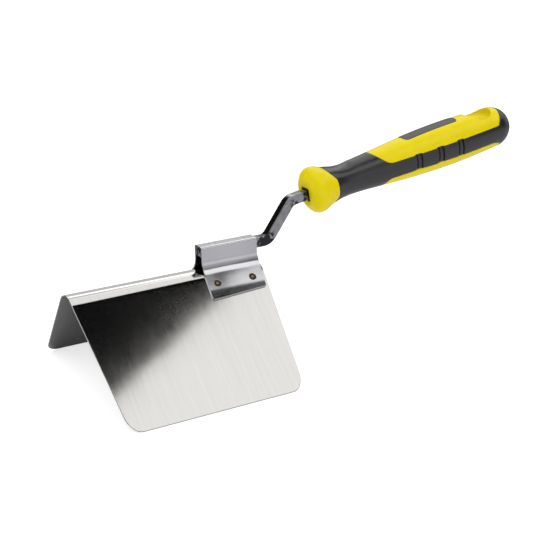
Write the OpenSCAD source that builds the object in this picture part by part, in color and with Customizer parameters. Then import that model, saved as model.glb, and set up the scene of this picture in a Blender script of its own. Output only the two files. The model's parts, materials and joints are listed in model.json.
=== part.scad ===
// Outside corner trowel: a folded stainless blade, a saddle bracket spot-welded
// over its fold, a cranked square shank and a three-part moulded handle.
// +X runs along the fold towards the handle, +Z is up and y = 0 is the plane of
// symmetry. The origin is the centre of the footprint, level with the lower
// edges of the wings.

/* [Blade] */
// Length of the blade along the fold
blade_len = 127; // [110:1:150]
// Width of each wing, measured from the sharp corner that the fold rounds off
wing_w = 98.3; // [90:0.1:110]
// Angle between the two wings
fold_angle = 94; // [92:1:96]
// Thickness of the blade sheet
blade_t = 0.8; // [0.6:0.1:1]
// Outside radius of the fold
fold_r = 15.2; // [14:0.1:16]
// How far the short edges of a wing lean inwards
edge_taper = 4.85; // [0:0.05:6]
// Radius of the free corners of a wing
corner_r = 9; // [4:1:12]

/* [Saddle bracket] */
// Where the bracket starts along the fold
saddle_x = 87; // [80:1:88]
// Length of the bracket along the fold
saddle_len = 39; // [38:0.5:39]
// Width across the channel
saddle_w = 9.5; // [9:0.1:9.5]
// Thickness of the bracket sheet
saddle_t = 1; // [1:0.1:1.1]
// Height of the channel's top above the sharp corner of the fold
saddle_top = 9.8; // [9:0.1:10.5]
// Outside radius where each wall flares into its flange
flare_r = 12; // [10:1:13]
// Reach of each flange down its wing, from the sharp corner
flange_reach = 27.4; // [26:0.1:29]
// Diameter of a spot weld in the flanges
spot_d = 4.8; // [4:0.1:5.4]
// Diameter of a plug weld in the channel's top
plug_d = 4.4; // [3.6:0.1:5]

/* [Shank] */
// Side of the square bar
bar = 6.5; // [6.3:0.05:6.5]
// Edge radius of the bar
bar_edge = 0.6; // [0.5:0.1:1.4]
// Where the crank's lower bend would meet in a sharp corner
crank_x = 135.8; // [135:0.1:138]
// Slope of the rising part of the crank
crank_angle = 53.7; // [50:0.1:56]
// Radius of both bends, along the middle of the bar
bend_r = 8; // [8:0.5:11]
// Depth of the tang inside the handle
tang_depth = 84; // [70:1:90]
// How far the tang sits below the handle's axis
tang_drop = 0.9; // [0.5:0.1:1.2]

/* [Handle] */
// Where the collar's front face is, behind the blade's front edge
handle_x = 165.3; // [165:0.1:168]
// Height of the collar's centre above the sharp corner of the fold
handle_z = 31.6; // [31:0.1:33]
// Slope of the handle
handle_tilt = 9.1; // [8:0.1:10]
// Radius of the round butt
butt_r = 14; // [13.8:0.1:14.2]
// Thickness of the soft overmould
soft_t = 1.8; // [1.4:0.1:2]
// Depth of the finger grooves in the soft sides
groove_depth = 0.9; // [0.5:0.1:1.2]
// Radius of the hanging hole
hang_r = 3.8; // [3:0.1:4]

/* [Hidden] */
$fn = 64;

half_angle = fold_angle / 2;
wing_dir = [sin(half_angle), -cos(half_angle)];
wing_out = [cos(half_angle), sin(half_angle)];
// distance from the sharp corner to where the fold's arc turns into the wing
fold_tangent = fold_r / tan(half_angle);
fold_centre_z = -fold_r / sin(half_angle);
wing_flat = wing_w - fold_tangent;
// height of the fold's sharp corner above the lowest edges of the wings
corner_h = wing_w * cos(half_angle) + blade_t * sin(half_angle);

butt_s = 151;
overall_len = handle_x + butt_s * cos(handle_tilt) + butt_r;

steel = [0.78, 0.78, 0.76];
polished = [0.66, 0.67, 0.70];
heat_tint = [0.50, 0.42, 0.33];
yellow = [0.95, 0.86, 0.02];
black = [0.10, 0.10, 0.11];
dark_grey = [0.28, 0.27, 0.24];

// ---------- outline helpers ----------

function arc(centre, r, from, to, steps) =
    [for (i = [0:steps]) centre + r * [cos(from + (to - from) * i / steps),
                                       sin(from + (to - from) * i / steps)]];

function unit(v) = v / norm(v);

// arc that rounds the corner b between a and c; a radius of 0 keeps it sharp
function rounded_corner(a, b, c, r) =
    r == 0 ? [b] :
    let (u = unit(a - b),
         v = unit(c - b),
         half = acos(u * v) / 2,
         centre = b + unit(u + v) * r / sin(half),
         start = b + u * r / tan(half) - centre,
         end = b + v * r / tan(half) - centre,
         turn = 180 - 2 * half,
         side = sign(start.x * end.y - start.y * end.x),
         first = atan2(start.y, start.x),
         steps = ceil(turn / 10))
    arc(centre, r, first, first + side * turn, steps);

// closed outline from corners given as [x, y, radius]
function outline(p) =
    let (n = len(p))
    [for (i = [0:n - 1])
        let (a = p[(i + n - 1) % n], b = p[i], c = p[(i + 1) % n])
        each rounded_corner([a.x, a.y], [b.x, b.y], [c.x, c.y], b[2])];

function reversed(p) = [for (i = [len(p) - 1:-1:0]) p[i]];

function flipped(p) = [for (q = p) [-q.x, q.y]];

// ---------- frames ----------

// the fold's sharp corner at the blade's front edge, seen from the object's origin
module from_corner() {
    translate([-overall_len / 2, 0, corner_h]) children();
}

// handle frame: X along the handle from the collar's front face, Z across it, upwards
module in_handle() {
    from_corner() translate([handle_x, 0, handle_z]) rotate([0, -handle_tilt, 0]) children();
}

// solid of a side outline drawn in X and Z, centred on y = 0
module side_solid(points, width) {
    rotate([90, 0, 0]) linear_extrude(width, center = true) polygon(points);
}

// solid of an end outline drawn in Y and Z, running along +X
module end_solid(points, length) {
    rotate([90, 0, 90]) linear_extrude(length) polygon(points);
}

// ---------- blade ----------

// end view of the folded sheet: the fold's arc with a straight wing on each side
function sheet_side(inset) =
    let (tip = wing_w * wing_dir - inset * wing_out)
    concat([[-tip.x, tip.y]],
           arc([0, fold_centre_z], fold_r - inset, 180 - half_angle, half_angle, 24),
           [tip]);

// side view of the blade: the short edges lean inwards below the fold's arc
module blade_trim() {
    lean = wing_flat * tan(edge_taper);
    arc_end = -fold_tangent * cos(half_angle);
    above = 5;
    side_solid(outline([[0, above, 0],
                        [0, arc_end, 0],
                        [lean, -corner_h, corner_r],
                        [blade_len - lean, -corner_h, corner_r],
                        [blade_len, arc_end, 0],
                        [blade_len, above, 0]]), 2 * wing_w);
}

module blade() {
    color(steel) from_corner() intersection() {
        end_solid(concat(sheet_side(0), reversed(sheet_side(blade_t))), blade_len);
        blade_trim();
    }
}

// ---------- saddle bracket ----------

channel_edge_r = 1.7;

// channel over the fold whose walls flare out into a flange on each wing
function half_channel(offset) =
    let (wall = saddle_w / 2 - offset,
         top = saddle_top - offset,
         lift = saddle_t - offset,
         edge_r = channel_edge_r - offset,
         meet = (wall - lift * wing_out.x) / wing_dir.x,
         meet_z = lift * wing_out.y + meet * wing_dir.y,
         r = flare_r + offset,
         tangent = r * tan(half_angle / 2),
         centre = [wall + r, meet_z + tangent])
    concat(arc([wall - edge_r, top - edge_r], edge_r, 90, 0, 6),
           arc(centre, r, 180, 180 + half_angle, 8),
           [lift * wing_out + 1.2 * flange_reach * wing_dir]);

module channel_sheet() {
    outer = half_channel(0);
    inner = half_channel(saddle_t);
    end_solid(concat(reversed(flipped(outer)), outer, reversed(inner), flipped(inner)), blade_len);
}

// side view of the bracket: both upright edges turn forwards at the waist, where the
// flanges begin, and the flanges' lower edge rises a little towards the rear
waist_z = -6;
waist_r = 4;
front_lean = 1.2;
rear_lean = 2.2;
rear_lift = 1.4;
flange_corner_r = 1.2;

module saddle_trim() {
    rear = saddle_x + saddle_len;
    low = -flange_reach * cos(half_angle);
    above = saddle_top + 5;
    side_solid(outline([[saddle_x, above, 0],
                        [rear, above, 0],
                        [rear, waist_z, waist_r],
                        [rear - rear_lean, low + rear_lift, flange_corner_r],
                        [saddle_x - front_lean, low, flange_corner_r],
                        [saddle_x, waist_z, waist_r]]), 3 * flange_reach);
}

// moves children to the outer face of the -Y wing, s down from the sharp corner,
// with Z pointing into the wing
module on_wing(s) {
    translate([0, -wing_dir.x * s, wing_dir.y * s]) rotate([270 - half_angle, 0, 0]) children();
}

// where the spot welds are: in from the bracket's front or rear edge, and down the wing
front_spot = [5.8, 18];
rear_spot = [8.7, 18.4];
// where the plug welds are, behind the bracket's front edge
plug_places = [10, 30];

// one spot weld at s down the -Y wing, filling the flange's thickness
module spot(x, s) {
    translate([x, 0, 0]) on_wing(s) translate([0, 0, -saddle_t]) cylinder(d = spot_d, h = saddle_t);
}

module spots() {
    for (side = [0, 1]) mirror([0, side, 0]) {
        spot(saddle_x + front_spot.x, front_spot.y);
        spot(saddle_x + saddle_len - rear_spot.x, rear_spot.y);
    }
}

module plugs() {
    for (x = plug_places)
        translate([saddle_x + x, 0, saddle_top - saddle_t]) cylinder(d = plug_d, h = saddle_t);
}

module saddle_bracket() {
    color(polished) from_corner() difference() {
        intersection() {
            channel_sheet();
            saddle_trim();
        }
        spots();
        plugs();
    }
}

module flange_spot_welds() {
    color(heat_tint) from_corner() spots();
}

module channel_plug_welds() {
    color(polished) from_corner() plugs();
}

// ---------- shank ----------

bar_z = saddle_top - saddle_t - bar / 2;
bar_start = saddle_x + 1;
handle_dir = [cos(handle_tilt), sin(handle_tilt)];
crank_dir = [cos(crank_angle), sin(crank_angle)];
// middle of the tang at the collar's front face
tang_mouth = [handle_x, handle_z] + tang_drop * [sin(handle_tilt), -cos(handle_tilt)];
crank_low = [crank_x, bar_z];
to_tang = tang_mouth - crank_low;
// sharp-cornered length of the rising part, up to the tang's own line
rise = (to_tang.x * handle_dir.y - to_tang.y * handle_dir.x)
       / (crank_dir.x * handle_dir.y - crank_dir.y * handle_dir.x);
crank_high = crank_low + rise * crank_dir;
low_turn = crank_angle;
high_turn = crank_angle - handle_tilt;
low_tangent = bend_r * tan(low_turn / 2);
high_tangent = bend_r * tan(high_turn / 2);
// how much a bend stands proud of the straight bar, and how far a straight run reaches into it
bend_swell = 0.03;
run_lap = 0.5;

module bar_section(swell = 0) {
    h = bar / 2 + swell;
    polygon(outline([[-h, -h, bar_edge], [h, -h, bar_edge], [h, h, bar_edge], [-h, h, bar_edge]]));
}

module bar_run(length) {
    rotate([90, 0, 90]) linear_extrude(length) bar_section();
}

// bar that leaves the origin along +X and turns upwards, a little swollen as forged bends are
module bar_bend(turn) {
    translate([0, 0, bend_r]) rotate([0, 90, 0]) rotate([90, 0, 0])
        rotate_extrude(angle = turn) translate([bend_r, 0]) bar_section(bend_swell);
}

// moves children to the far end of a bend
module past_bend(turn) {
    translate([bend_r * sin(turn), 0, bend_r * (1 - cos(turn))]) rotate([0, -turn, 0]) children();
}

module bar_path() {
    low_run = crank_x - low_tangent - bar_start;
    rise_run = rise - low_tangent - high_tangent;
    tang_run = norm(tang_mouth - crank_high) - high_tangent + tang_depth;
    translate([bar_start, 0, bar_z]) bar_run(low_run + run_lap);
    translate([crank_x - low_tangent, 0, bar_z]) {
        bar_bend(low_turn);
        past_bend(low_turn) {
            translate([-run_lap, 0, 0]) bar_run(rise_run + 2 * run_lap);
            translate([rise_run, 0, 0]) mirror([0, 0, 1]) {
                bar_bend(high_turn);
                past_bend(high_turn) translate([-run_lap, 0, 0]) bar_run(tang_run + run_lap);
            }
        }
    }
}

// notches across the top and bottom of the tang, which the core's plastic grips
notch_pitch = 12;
notch_len = 4;
notch_depth = 1.2;

module tang_notches() {
    first = tang_depth - 38;
    in_handle() for (i = [0:2], side = [-1, 1])
        translate([first + i * notch_pitch, 0, -tang_drop + side * bar / 2])
            cube([notch_len, 1.3 * bar, 2 * notch_depth], center = true);
}

module shank() {
    color(dark_grey) difference() {
        from_corner() bar_path();
        tang_notches();
    }
}

// ---------- handle ----------

// the handle's outline: distance from the collar's front face, and radius
PROFILE = [[0, 8.8], [1.5, 11.5], [3.2, 13.8], [5, 15], [7.5, 15.3], [10.5, 14.7], [14, 13.3],
           [20, 11.8], [27, 11], [34, 10.95], [44, 11.5], [55, 12.4], [70, 13.6], [85, 14.55],
           [100, 15.15], [115, 15.3], [130, 15], [142, 14.5], [butt_s, butt_r]];
LAST = len(PROFILE) - 1;

function chord_slope(a, b) = (PROFILE[b][1] - PROFILE[a][1]) / (PROFILE[b][0] - PROFILE[a][0]);

function station_slope(i) = chord_slope(max(i - 1, 0), min(i + 1, LAST));

// cubic curve from station i to the next, at the share t of the way
function profile_point(i, t) =
    let (a = PROFILE[i],
         b = PROFILE[i + 1],
         step = b[0] - a[0],
         keep = (1 + 2 * t) * pow(1 - t, 2),
         radius = keep * a[1] + (1 - keep) * b[1]
                  + step * t * pow(1 - t, 2) * station_slope(i)
                  - step * (1 - t) * pow(t, 2) * station_slope(i + 1))
    [a[0] + t * step, radius];

profile_curve = [for (i = [0:LAST - 1], t = [0:0.5:0.6]) profile_point(i, t)];

function radius_near(s) = lookup(s, profile_curve);

// half outline of the handle, pulled in by inset
function half_outline(inset) =
    concat([[0, 0]],
           [for (p = profile_curve) [p[1] - inset, p[0]]],
           [for (q = arc([0, butt_s], butt_r - inset, 0, 90, 12)) [max(q.x, 0), q.y]]);

// body of revolution about the handle's axis, drawn in the handle frame
module turned(points) {
    rotate([0, 90, 0]) rotate_extrude() polygon(points);
}

module envelope(inset = 0) {
    turned(half_outline(inset));
}

// where the hard shell shows through the soft grip, in side view: the collar in
// front, a panel on top and a strip underneath
collar_top = 13;
collar_rear = 18.7;
collar_point = 5.6;
panel_front = 50.6;
panel_edge = 4.05;
panel_rear = 149.2;
strip_front = 53;
strip_edge = -6.9;
groove_s = [80.9, 98.4, 115];
groove_w = 4.6;
// further out than the handle's surface
beyond = 40;

module collar_window() {
    side_solid(outline([[-5, beyond, 0],
                        [collar_top, beyond, 0],
                        [collar_top, 13.6, 0],
                        [collar_rear, collar_point, 2.5],
                        [collar_rear, -collar_point, 2.5],
                        [collar_top, -13.6, 0],
                        [collar_top, -beyond, 0],
                        [-5, -beyond, 0]]), beyond);
}

// small bump of the soft side into the panel above each groove
function groove_bumps() =
    [for (s = groove_s) each [[s - 3.2, panel_edge, 0],
                              [s - 2, panel_edge + 0.6, 0],
                              [s + 2, panel_edge + 0.6, 0],
                              [s + 3.2, panel_edge, 0]]];

module top_window() {
    side_solid(outline(concat([[panel_front, beyond, 0],
                               [panel_front, 12, 0],
                               [panel_front + 8.3, panel_edge, 9]],
                              groove_bumps(),
                              [[panel_rear, panel_edge, 1.4],
                               [panel_rear + 6.4, 14, 0],
                               [panel_rear + 6.4, beyond, 0]])), beyond);
}

module bottom_window() {
    side_solid(outline([[strip_front, -beyond, 0],
                        [strip_front, -12.3, 0],
                        [strip_front + 6, strip_edge, 4],
                        [groove_s[0], strip_edge + 0.4, 0],
                        [groove_s[1] - 3, strip_edge - 0.2, 0],
                        [groove_s[1], strip_edge + 0.2, 0],
                        [groove_s[2] - 3, strip_edge - 0.3, 0],
                        [groove_s[2], strip_edge - 0.4, 0],
                        [butt_s - 7, strip_edge - 0.4, 6],
                        [butt_s, -9.4, 0],
                        [butt_s, -beyond, 0]]), beyond);
}

module windows() {
    collar_window();
    top_window();
    bottom_window();
}

// core moulded round the tang: a square boss that shows at the collar, then a round bar
core_rim = 1.1;
boss_len = 24;
core_r = 7.8;
core_end = 126;

module core_body() {
    boss = bar + 2 * core_rim;
    lap = 2;
    translate([boss_len / 2, 0, -tang_drop]) cube([boss_len, boss, boss], center = true);
    translate([boss_len - lap, 0, 0]) rotate([0, 90, 0])
        cylinder(r = core_r, h = core_end - boss_len + lap);
}

module handle_core() {
    color(black) difference() {
        in_handle() core_body();
        shank();
    }
}

// plaque set into the top of the handle
plaque_s = 99.5;
plaque_len = 44;
plaque_w = 11;
plaque_r = 3.2;
plaque_sink = 0.7;
plaque_proud = 0.15;

module plaque_outline() {
    x = plaque_len / 2;
    y = plaque_w / 2;
    translate([plaque_s, 0, 5]) linear_extrude(20)
        polygon(outline([[-x, -y, plaque_r], [x, -y, plaque_r], [x, y, plaque_r], [-x, y, plaque_r]]));
}

module handle_plaque() {
    color(dark_grey) in_handle() intersection() {
        difference() {
            envelope(-plaque_proud);
            envelope(plaque_sink);
        }
        plaque_outline();
    }
}

// hanging hole: a straight bore that opens into a wide dish on top and has a
// chamfered mouth underneath
hang_s = 141;
bore_top = 7.4;
bore_foot = -13.2;
mouth = 5;
dish_r = 9.8;
dish_round = 3;
dish_floor = bore_top + 1.4;

module hang_hole() {
    above = 20;
    translate([hang_s, 0, 0]) {
        translate([0, 0, bore_foot - mouth]) cylinder(r = hang_r, h = 40);
        translate([0, 0, bore_foot - mouth]) cylinder(r1 = hang_r + mouth, r2 = hang_r, h = mouth);
        rotate_extrude()
            polygon(concat([[0, bore_top], [hang_r, bore_top]],
                           arc([dish_r - dish_round, dish_floor + dish_round], dish_round, 270, 360, 8),
                           [[dish_r + 0.4, above], [0, above]]));
    }
}

module handle_shell() {
    color(yellow) in_handle() difference() {
        union() {
            envelope(soft_t);
            intersection() {
                envelope();
                windows();
            }
        }
        core_body();
        hang_hole();
        intersection() {
            plaque_outline();
            difference() {
                envelope(-2);
                envelope(plaque_sink);
            }
        }
    }
}

module finger_grooves() {
    flare = 0.8;
    above = 4;
    for (s = groove_s)
        turned([[radius_near(s) - groove_depth, s - groove_w / 2],
                [radius_near(s) + above, s - groove_w / 2 - flare],
                [radius_near(s) + above, s + groove_w / 2 + flare],
                [radius_near(s) - groove_depth, s + groove_w / 2]]);
}

module soft_grip() {
    color(black) in_handle() difference() {
        envelope();
        envelope(soft_t);
        windows();
        hang_hole();
        finger_grooves();
    }
}

blade();
saddle_bracket();
flange_spot_welds();
channel_plug_welds();
shank();
handle_core();
handle_shell();
soft_grip();
handle_plaque();
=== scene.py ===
"""Outside corner trowel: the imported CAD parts, dressed with detailed surfaces and materials.

Shapes are worked out in millimetres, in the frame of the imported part, and stored in metres.
"""
import json
import math

import bmesh
import bpy
import numpy as np
from mathutils import Matrix, Vector
from mathutils.geometry import delaunay_2d_cdt


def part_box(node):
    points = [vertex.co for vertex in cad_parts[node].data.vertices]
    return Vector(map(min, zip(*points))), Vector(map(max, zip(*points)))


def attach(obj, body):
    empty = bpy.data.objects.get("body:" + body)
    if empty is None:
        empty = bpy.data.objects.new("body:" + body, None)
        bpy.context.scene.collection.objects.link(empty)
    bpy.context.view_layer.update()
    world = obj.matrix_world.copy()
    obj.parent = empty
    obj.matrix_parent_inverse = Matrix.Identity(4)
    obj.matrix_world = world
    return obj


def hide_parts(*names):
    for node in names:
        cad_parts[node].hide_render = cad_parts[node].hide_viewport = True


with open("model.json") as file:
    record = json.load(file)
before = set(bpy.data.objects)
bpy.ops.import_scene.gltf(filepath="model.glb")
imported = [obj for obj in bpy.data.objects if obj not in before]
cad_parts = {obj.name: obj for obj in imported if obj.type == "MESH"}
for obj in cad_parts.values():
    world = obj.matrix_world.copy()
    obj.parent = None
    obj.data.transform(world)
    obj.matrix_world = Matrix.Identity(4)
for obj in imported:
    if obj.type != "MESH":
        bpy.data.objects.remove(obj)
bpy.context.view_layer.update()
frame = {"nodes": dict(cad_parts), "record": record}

MM = 0.001
BODY = "root"


# ---------------------------------------------------------------- places taken from the frame

def node_box(name):
    """Lowest and highest corner of a CAD node, in millimetres."""
    low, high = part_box(name)
    return np.array(low) / MM, np.array(high) / MM


def mount(name):
    """Place in millimetres and axis of one of the record's mounts."""
    found = next(m for m in frame["record"]["mounts"] if m["name"] == name)
    return np.array(found["pos_m"]) / MM, np.array(found["axis"])


# blade: the sheet's own numbers, and the rest from its box and the wing's mount
SHEET = 0.8
FOLD_R = 15.2
EDGE_TAPER = math.radians(4.85)
CORNER_R = 9.0
BLADE_LOW, BLADE_HIGH = node_box("blade")
WING_POINT, WING_AXIS = mount("wing_face_left")
WING_OUT = -WING_AXIS[1:]
HALF_ANGLE = math.atan2(WING_OUT[1], WING_OUT[0])
WING_DOWN = np.array([math.sin(HALF_ANGLE), -math.cos(HALF_ANGLE)])
CORNER_Z = WING_POINT[2] + (WING_POINT[1] * WING_OUT[0] + SHEET) / WING_OUT[1]
FOLD_CENTRE_Z = CORNER_Z - FOLD_R / math.sin(HALF_ANGLE)
WING_W = BLADE_HIGH[1] / math.sin(HALF_ANGLE)

# saddle bracket
SADDLE_T = 1.0
SADDLE_W = 9.5
CHANNEL_EDGE_R = 1.7
FLARE_R = 12.0
FLANGE_REACH = 27.4
FRONT_LEAN = 1.2
REAR_LEAN = 2.2
REAR_LIFT = 1.4
WAIST_DROP = 6.0
# the flange's lower edge is sprung a little away from the wing
LIP_TILT = math.radians(2.5)
LIP_LEN = 5.6
LIP_BEND = 1.6
SADDLE_LOW, SADDLE_HIGH = node_box("saddle_bracket")
SADDLE_FRONT = SADDLE_LOW[0] + FRONT_LEAN
SADDLE_REAR = SADDLE_HIGH[0]
SADDLE_TOP = SADDLE_HIGH[2]
SPOT_R = 2.4
SPOT_BOX = (4.8, 4.4, 4.1)
PLUG_R = 2.2
# spot welds: in from the bracket's front or rear edge, and down the wing from the sharp corner
FRONT_SPOT = (5.8, 18.0)
REAR_SPOT = (8.7, 18.4)
PLUG_PLACES = (10.0, 30.0)

# shank
BAR = 6.5
BAR_EDGE = 0.6
BEND_R = 8.0
BEND_STEPS = 21
CRANK_ANGLE = math.radians(53.7)
CRANK_BACK = 48.8
TANG_DEPTH = 84.0
TANG_DROP = 0.9
NOTCH_PLACES = [TANG_DEPTH - 38 + 12 * i for i in range(3)]
NOTCH_LEN = 4.0
NOTCH_DEPTH = 1.2
END_CHAMFER = 0.35
SHANK_FRONT = node_box("shank")[0][0]

# handle: its frame comes from the hanging hole's mount
HANG_POINT, HANDLE_UP = mount("hang_hole")
HANG_S = 141.0
BORE_TOP = 7.4
BORE_FOOT = -13.2
HANG_R = 3.8
DISH_R = 9.8
DISH_FLOOR = 8.8
HANDLE_TILT = math.atan2(-HANDLE_UP[0], HANDLE_UP[2])
HANDLE_ALONG = np.array([math.cos(HANDLE_TILT), 0.0, math.sin(HANDLE_TILT)])
HANDLE_START = HANG_POINT - HANG_S * HANDLE_ALONG - (BORE_TOP + BORE_FOOT) / 2 * HANDLE_UP

# the bar's directions in X and Z: in the bracket, up the crank, and into the handle
LEVEL = np.array([1.0, 0.0])
RISING = np.array([math.cos(CRANK_ANGLE), math.sin(CRANK_ANGLE)])
ALONG = HANDLE_ALONG[[0, 2]]

# the handle's outline: distance from the collar's front face, and radius
PROFILE = [(0, 8.8), (1.5, 11.5), (3.2, 13.8), (5, 15), (7.5, 15.3), (10.5, 14.7), (14, 13.3),
           (20, 11.8), (27, 11), (34, 10.95), (44, 11.5), (55, 12.4), (70, 13.6), (85, 14.55),
           (100, 15.15), (115, 15.3), (130, 15), (142, 14.5), (151, 14)]
BUTT_S, BUTT_R = PROFILE[-1]
SOFT_T = 1.8
CORE_RIM = 1.1
CORE_R = 7.8
CORE_END = 126.0
BOSS_LEN = 24.0
# where the hard shell shows through the grip, in side view
COLLAR_TOP = 13.0
COLLAR_REAR = 18.7
PANEL_FRONT = 50.6
PANEL_EDGE = 4.05
PANEL_REAR = 149.2
STRIP_FRONT = 53.0
STRIP_EDGE = -6.9
GROOVES = (80.9, 98.4, 115.0)
GROOVE_W = 4.6
GROOVE_FLOOR = 0.55
# slots at a groove's front and rear: place from its middle, half width and depth
GROOVE_SLOTS = ((-1.6, 0.75, 1.25), (2.0, 0.45, 1.0))
PLAQUE_S = 99.5
PLAQUE_LEN = 44.0
PLAQUE_W = 11.0
PLAQUE_R = 3.2
PLAQUE_SINK = 0.7
PLAQUE_PROUD = 0.15
# rounding at the bottom of the hanging hole's dish
DISH_ROUND = 3.0
# exponent of the curve that the core's cavity has in section: high is square
SQUARENESS = 14
# thumb rest on the neck
THUMB_DEPTH = 0.6
THUMB_FRONT = 17.0
THUMB_REAR = 36.5
THUMB_ANGLE = math.radians(66)
# dents in the top panel, each ahead of a groove and above it
DENT_DEPTH = 0.35
DENT_LEN = 1.9
DENT_H = 1.0
DENT_AHEAD = 1.7
DENT_RISE = 2.6


# ---------------------------------------------------------------- outlines

def arc(x, y, radius, start, end, steps):
    """Points of an arc, with both ends; angles in radians."""
    turn = np.linspace(start, end, steps + 1)
    return np.column_stack([x + radius * np.cos(turn), y + radius * np.sin(turn)])


def unit(v):
    return v / np.linalg.norm(v)


def rounded(corners, closed=True, step=math.radians(7)):
    """Outline from (x, y, radius) corners, each turned into an arc."""
    parts = []
    count = len(corners)
    for i, (x, y, radius) in enumerate(corners):
        here = np.array([x, y], float)
        if radius == 0 or (not closed and i in (0, count - 1)):
            parts.append(here[None])
            continue
        before = unit(np.array(corners[i - 1][:2]) - here)
        after = unit(np.array(corners[(i + 1) % count][:2]) - here)
        half = math.acos(np.clip(before @ after, -1, 1)) / 2
        centre = here + unit(before + after) * radius / math.sin(half)
        first = here + before * radius / math.tan(half) - centre
        last = here + after * radius / math.tan(half) - centre
        turn = math.pi - 2 * half
        side = math.copysign(1, first[0] * last[1] - first[1] * last[0])
        start = math.atan2(first[1], first[0])
        steps = max(2, math.ceil(turn / step))
        parts.append(arc(centre[0], centre[1], radius, start, start + side * turn, steps))
    return np.vstack(parts)


def lengths(line):
    """Distance along a line of points, at each point."""
    return np.concatenate([[0], np.cumsum(np.linalg.norm(np.diff(line, axis=0), axis=1))])


def spaced(line, gap, closed=False):
    """The same line with no two neighbours further apart than gap."""
    line = np.asarray(line, float)
    if closed:
        line = np.vstack([line, line[:1]])
    points = [line[:1]]
    for a, b in zip(line[:-1], line[1:]):
        steps = max(1, math.ceil(np.linalg.norm(b - a) / gap))
        share = np.arange(1, steps + 1)[:, None] / steps
        points.append(a + (b - a) * share)
    points = np.vstack(points)
    return points[:-1] if closed else points


def even(line, gap):
    """The line with evenly spaced points, keeping its two ends."""
    along = lengths(line)
    want = np.linspace(0, along[-1], max(2, round(along[-1] / gap) + 1))
    return np.column_stack([np.interp(want, along, line[:, k]) for k in range(line.shape[1])])


def inset(line, distance, closed):
    """The line moved to its left by distance. An open line's ends meet a mirror line square on."""
    if closed:
        before, after = np.roll(line, 1, axis=0), np.roll(line, -1, axis=0)
    else:
        flip = np.array([1, -1])
        first = line[0] + (line[1] - line[0]) * flip
        last = line[-1] + (line[-2] - line[-1]) * flip
        before, after = np.vstack([first, line[:-1]]), np.vstack([line[1:], last])
    into = line - before
    out = after - line
    into /= np.linalg.norm(into, axis=1)[:, None]
    out /= np.linalg.norm(out, axis=1)[:, None]
    both = into + out
    both /= np.linalg.norm(both, axis=1)[:, None]
    normal = np.column_stack([-both[:, 1], both[:, 0]])
    lean = np.maximum(0.5, (both * out).sum(axis=1))
    return line + normal * (distance / lean)[:, None]


def is_inside(points, loop):
    """Which points are inside a closed loop."""
    x, y = points[:, 0][:, None], points[:, 1][:, None]
    ax, ay = loop[:, 0], loop[:, 1]
    bx, by = np.roll(ax, -1), np.roll(ay, -1)
    rise = np.where(by == ay, 1e-12, by - ay)
    crosses = ((ay > y) != (by > y)) & (x < (bx - ax) * (y - ay) / rise + ax)
    return crosses.sum(axis=1) % 2 == 1


def far_from(points, line, gap):
    """Which points are at least gap from every point of the line."""
    return np.array([np.linalg.norm(line - point, axis=1).min() > gap for point in points], bool)


def lattice(xs, ys):
    """Every crossing of two lists of coordinates."""
    return np.array([(x, y) for x in xs for y in ys])


def triangles(loop, loose, holes=()):
    """Triangles between closed loops, using the loose points that lie between them."""
    points = np.vstack([loop, *holes, loose]) if len(loose) else np.vstack([loop, *holes])
    edges = []
    start = 0
    for ring in [loop, *holes]:
        edges += [(start + i, start + (i + 1) % len(ring)) for i in range(len(ring))]
        start += len(ring)
    made = delaunay_2d_cdt([Vector(p) for p in points], edges, [], 1, 1e-7)
    source = [ids[0] for ids in made[3]]
    found = np.array([[source[i] for i in face] for face in made[2]])
    middles = points[found].mean(axis=1)
    keep = is_inside(middles, loop)
    for hole in holes:
        keep &= ~is_inside(middles, hole)
    return points, found[keep]


# ---------------------------------------------------------------- meshes

class Patch:
    """Points and faces gathered into one mesh."""

    def __init__(self):
        self.points = []
        self.faces = []

    def add(self, points):
        """Adds points and returns their numbers."""
        start = sum(len(p) for p in self.points)
        self.points.append(np.asarray(points, float))
        return np.arange(start, start + len(points))

    def strip(self, first, second, closed=False):
        """Quads between two rows of points of the same length."""
        count = len(first)
        for i in range(count if closed else count - 1):
            j = (i + 1) % count
            self.faces.append((first[i], first[j], second[j], second[i]))

    def over(self, rows, closed=False):
        """Quads over rows of points, one after another. Returns the numbers of each row's points."""
        numbers = [self.add(points) for points in rows]
        for first, second in zip(numbers[:-1], numbers[1:]):
            self.strip(first, second, closed)
        return numbers

    def fan(self, ring, tip):
        """Triangles from a ring of points to one point, given by its place."""
        end = self.add(tip[None])[0]
        for i in range(len(ring)):
            self.faces.append((ring[i], ring[(i + 1) % len(ring)], end))

    def fill(self, numbers, found, flip=False):
        for face in found:
            ids = [numbers[i] for i in face]
            self.faces.append(tuple(reversed(ids)) if flip else tuple(ids))


def link(obj):
    """Puts an object into the scene and returns it."""
    bpy.context.scene.collection.objects.link(obj)
    return obj


def piece(name, patch, material, replaces=(), mirror=False, sharp=35.0, weighted=False):
    """Makes the mesh object of a piece, closed and facing outwards, and hangs it on the frame."""
    points = np.vstack(patch.points)
    faces = [tuple(int(i) for i in f) for f in patch.faces]
    if mirror:
        count = len(points)
        points = np.vstack([points, points * np.array([1, -1, 1])])
        faces += [tuple(i + count for i in reversed(f)) for f in faces]
    mesh = bpy.data.meshes.new(name)
    mesh.from_pydata((points * MM).tolist(), [], faces)
    obj = link(bpy.data.objects.new(name, mesh))
    weld_and_turn(mesh)
    mesh.polygons.foreach_set("use_smooth", [True] * len(mesh.polygons))
    mesh.set_sharp_from_angle(angle=math.radians(sharp))
    mesh.materials.append(material)
    if weighted:
        modifier = obj.modifiers.new("flat_faces", "WEIGHTED_NORMAL")
        modifier.keep_sharp = True
        modifier.weight = 100
    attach(obj, BODY)
    if replaces:
        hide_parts(*replaces)
    return obj


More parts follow.
